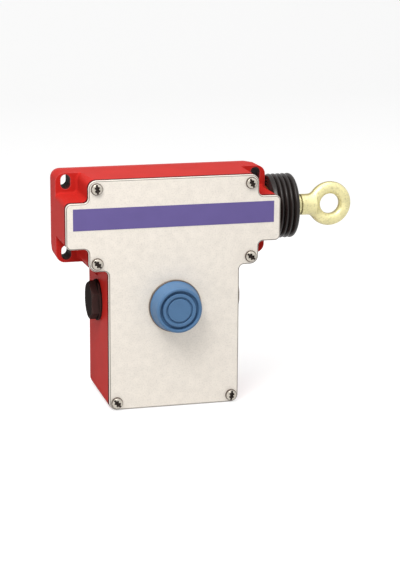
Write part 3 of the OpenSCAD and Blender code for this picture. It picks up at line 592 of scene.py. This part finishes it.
def eye_field(p):
    """Distance of the points p from the forging: a ring b = hypot(hypot(x, z) - R, s y) - w
    and a round shank a, joined by the smooth minimum a (1 - h) + b h - k h (1 - h), where
    h = 1/2 + (a - b) / 2k is held within 0 .. 1, and cut by the bore's cylinder."""
    x, y, z = p[:, 0] - eye_x, p[:, 1] - axis_y, p[:, 2] - axis_z
    ring = np.hypot(np.hypot(x, z) - ring_r, y * side_squeeze) - wire_r
    side = np.hypot(y, z) - (shank_r - shank_ease)
    ends = np.maximum(x + ring_r - ring_inset, shank_back - eye_x + shank_ease - x)
    shank = (np.hypot(np.maximum(side, 0), np.maximum(ends, 0))
             + np.minimum(np.maximum(side, ends), 0) - shank_ease)
    h = np.clip(0.5 + 0.5 * (shank - ring) / flow, 0.0, 1.0)
    body = shank * (1 - h) + ring * h - flow * h * (1 - h)
    return np.maximum(body, bore_r - np.hypot(x, z))


def field_surface(field, low, high, step):
    """Points and faces of the surface field = 0, by surface nets: one point in each cell
    that it crosses, at the mean of its edge crossings, then moved onto it by the steps
    p - d f g / |g|^2, where g is the field's gradient and d the damping."""
    axes = [np.arange(l, h + step, step) for l, h in zip(low, high)]
    grid = np.stack(np.meshgrid(*axes, indexing="ij"), axis=-1)
    f = field(grid.reshape(-1, 3)).reshape(grid.shape[:3])
    inside = f < 0
    cells = tuple(n - 1 for n in f.shape)
    total, number = np.zeros(cells + (3,)), np.zeros(cells)
    for ax in range(3):
        lo = tuple(slice(None, -1) if a == ax else slice(None) for a in range(3))
        hi = tuple(slice(1, None) if a == ax else slice(None) for a in range(3))
        cross = inside[lo] != inside[hi]
        t = np.where(cross, f[lo] / np.where(cross, f[lo] - f[hi], 1.0), 0.0)
        point = grid[lo] + t[..., None] * (grid[hi] - grid[lo])
        one, two = [a for a in range(3) if a != ax]
        for shift_one, shift_two in ((0, 0), (0, 1), (1, 0), (1, 1)):
            window = [slice(None)] * 3
            window[one] = slice(shift_one, f.shape[one] - 1 + shift_one)
            window[two] = slice(shift_two, f.shape[two] - 1 + shift_two)
            window = tuple(window)
            number += cross[window]
            total += np.where(cross[window][..., None], point[window], 0.0)
    used = number > 0
    index = -np.ones(cells, int)
    index[used] = np.arange(used.sum())
    verts = total[used] / number[used][:, None]
    faces = []
    for ax in range(3):
        b, c = [(1, 2), (2, 0), (0, 1)][ax]
        lo = tuple(slice(None, -1) if a == ax else slice(1, -1) for a in range(3))
        hi = tuple(slice(1, None) if a == ax else slice(1, -1) for a in range(3))
        where = np.argwhere(inside[lo] != inside[hi])
        flip = inside[lo][tuple(where.T)]
        where[:, [b, c]] += 1
        quad = []
        for back_b, back_c in ((-1, -1), (0, -1), (0, 0), (-1, 0)):
            corner = where.copy()
            corner[:, b] += back_b
            corner[:, c] += back_c
            quad.append(index[tuple(corner.T)])
        quad = np.stack(quad, axis=1)
        quad[~flip] = quad[~flip][:, ::-1]
        faces.append(quad)
    e, damping, least_slope, rounds = step * 0.05, 0.9, 1e-6, 4
    for _ in range(rounds):
        g = np.stack([(field(verts + e * d) - field(verts - e * d)) / (2 * e)
                      for d in np.eye(3)], axis=1)
        pull = damping * field(verts) / np.maximum((g**2).sum(1), least_slope)
        verts = verts - pull[:, None] * g
    return verts, np.concatenate(faces)


room = np.array([0.0, shank_r, ring_outer]) + net_room
middle = np.array([0.0, axis_y, axis_z])
verts, faces = field_surface(eye_field, middle - room + (shank_back, 0, 0),
                             middle + room + (high[0], 0, 0), net_step)
eye = solid("eye_forging", verts, faces, yellow_zinc, sharp=50)
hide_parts("pull_eye")
undercut_r, neck_ease, neck_sides = 5.2 * MM, 0.15 * MM, 128
neck_end, undercut_back, undercut_end = (shank_back + gap * MM for gap in (-0.55, -0.5, 0.3))
profile = eased([(0, neck_back), (neck_r, neck_back), (neck_r, neck_end),
                 (undercut_r, undercut_back), (undercut_r, undercut_end),
                 (0, undercut_end)], neck_ease, 3)
neck = surface("eye_neck", lathe(profile, (0, axis_y, axis_z), (1, 0, 0), neck_sides),
               yellow_zinc)
for piece in (eye, neck):
    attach(piece, "rod")

# ---------------------------------------------------------------------------
# Reset button: a boot of satin blue rubber with a raised rim, two grooves and a
# flat middle, clamped by a dark steel collar.
# ---------------------------------------------------------------------------
blue_rubber = finish("blue_rubber", (0.076, 0.168, 0.315), 0.5, specular=0.3, vary=0.05,
                     vary_scale=90, relief=0.08, relief_scale=1500)
dark_steel = finish("dark_steel", (0.16, 0.13, 0.11), 0.4, metallic=0.7, vary=0.08,
                    vary_scale=300, relief=0.05, relief_scale=1500)
collar_bevel = 0.25 * MM
blunt(dress(dark_steel, "button_collar"), collar_bevel)
low, high = box("reset_boot")
boot_z, boot_back = (low[2] + high[2]) / 2, high[1]
h = (boot_back - low[1]) / MM
outer = eased(
    [(0.0, h - 0.25), (7.0, h - 0.25), (7.3, h - 1.5), (7.9, h - 1.5), (8.3, h - 0.2),
     (10.1, h - 0.2), (10.5, h - 2.7), (11.5, h - 2.7), (12.1, h - 0.02), (13.4, h - 0.02),
     (14.0, h - 1.1), (14.9, 2.4), (15.2, 1.2), (15.58, 1.0), (15.58, 0.02), (14.0, 0.02)],
    [0, .25, .25, .25, .3, .35, .35, .35, .35, .6, .6, 1.0, .4, .2, .2, 0])
inner = [(13.4, 1.6), (12.7, h - 4.1), (10.3, h - 4.1), (7.6, h - 3.0), (0.0, h - 2.8)]
boot = surface("boot_rubber", lathe(np.vstack([outer, inner]) * MM, (0, boot_back, boot_z),
                                    (0, -1, 0)), blue_rubber, sharp=60)
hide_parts("reset_boot")
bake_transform(boot)

# ---------------------------------------------------------------------------
# Studio: a white floor that sweeps up behind, a soft key lamp from the upper
# left and front, lamps from the right, the left and above, and a white surround.
# ---------------------------------------------------------------------------
def sweep(width, near, far, rise, radius):
    """Grid of a floor that turns up into a wall by a quarter circle of the radius:
    (y, z) = (far - r + r sin a, r (1 - cos a)), carried across the width."""
    a = np.linspace(0, math.pi / 2, 25)
    section = np.vstack([[(near, 0.0)], np.stack([far - radius + radius * np.sin(a),
                                                  radius * (1 - np.cos(a))], axis=1),
                         [(far, rise)]])
    grid = np.zeros((len(section), 2, 3))
    grid[:, :, 0] = (-width / 2, width / 2)
    grid[:, :, 1:] = section[:, None, :]
    return grid


def plain_light(tree, seen, unseen):
    """Strength seen for the rays that show the background, unseen for diffuse light."""
    rays = tree.nodes.new("ShaderNodeLightPath").outputs
    shown = operate(tree, "MAXIMUM", rays["Is Camera Ray"], rays["Is Glossy Ray"])
    shown = operate(tree, "MAXIMUM", shown, rays["Is Transmission Ray"])
    return ranged(tree, shown, 0, 1, unseen, seen)


floor_white = bpy.data.materials.new("floor_white")
floor_white.use_nodes = True
tree = floor_white.node_tree
shader = tree.nodes["Principled BSDF"]
shader.inputs["Base Color"].default_value = (0.5, 0.5, 0.5, 1.0)
shader.inputs["Roughness"].default_value = 0.9
shader.inputs["Specular IOR Level"].default_value = 0.0
shader.inputs["Emission Color"].default_value = (1.0, 1.0, 1.0, 1.0)
tree.links.new(plain_light(tree, seen=0.68, unseen=0.05),
               shader.inputs["Emission Strength"])
floor_gap = 0.2 * MM
grid = sweep(width=9.0, near=-3.0, far=2.5, rise=4.0, radius=1.2)
grid = grid + (0, 0, cad_box[0][2] - floor_gap)
index = np.arange(len(grid) * 2).reshape(-1, 2)
quads = np.hstack([index[:-1], index[1:, ::-1]])
mesh = bpy.data.meshes.new("floor")
mesh.from_pydata(grid.reshape(-1, 3).tolist(), [], quads.tolist())
mesh.polygons.foreach_set("use_smooth", [True] * len(quads))
mesh.materials.append(floor_white)
floor = bpy.data.objects.new("floor", mesh)
bpy.context.scene.collection.objects.link(floor)

world = bpy.data.worlds.new("surround")
bpy.context.scene.world = world
world.use_nodes = True
surround = world.node_tree.nodes["Background"]
surround.inputs["Color"].default_value = (1.0, 1.0, 1.0, 1.0)
world.node_tree.links.new(plain_light(world.node_tree, seen=1.0, unseen=0.45),
                          surround.inputs["Strength"])


def lamp(name, place, size, power, colour=(1.0, 1.0, 1.0)):
    """A square lamp of the size in metres and power in watts that faces the origin."""
    data = bpy.data.lights.new(name, "AREA")
    data.size, data.energy, data.color = size, power, colour
    made = bpy.data.objects.new(name, data)
    made.location = place
    made.rotation_euler = (-Vector(place)).to_track_quat("-Z", "Y").to_euler()
    bpy.context.scene.collection.objects.link(made)


warm_white = (1.0, 0.985, 0.955)
lamp("key", (-0.23, -0.34, 0.44), 0.29, 2.95, warm_white)
lamp("fill", (0.9, -1.4, 0.9), 1.0, 2.4)
lamp("top", (0.15, -0.25, 1.6), 1.2, 9.5)
lamp("left", (-1.3, -0.35, 0.05), 0.8, 2.2)

# ---------------------------------------------------------------------------
# Camera: a long lens slightly above the box and to its left.
# ---------------------------------------------------------------------------
camera_data = bpy.data.cameras.new("camera")
camera_data.lens = 109.64
camera_data.sensor_width = 36.0
camera_data.clip_start = 0.05
camera_data.clip_end = 30.0
camera = bpy.data.objects.new("camera", camera_data)
bpy.context.scene.collection.objects.link(camera)
yaw, pitch, roll = (math.radians(angle) for angle in (14.909, 13.893, 0.378))
camera_place = (-0.24658, -1.04524, 0.21378)
camera.matrix_world = (Matrix.Translation(camera_place)
                       @ Euler((math.pi / 2 - pitch, 0.0, -yaw)).to_matrix().to_4x4()
                       @ Matrix.Rotation(roll, 4, "Z"))
bpy.context.scene.camera = camera
bpy.context.scene.view_settings.view_transform = "Standard"
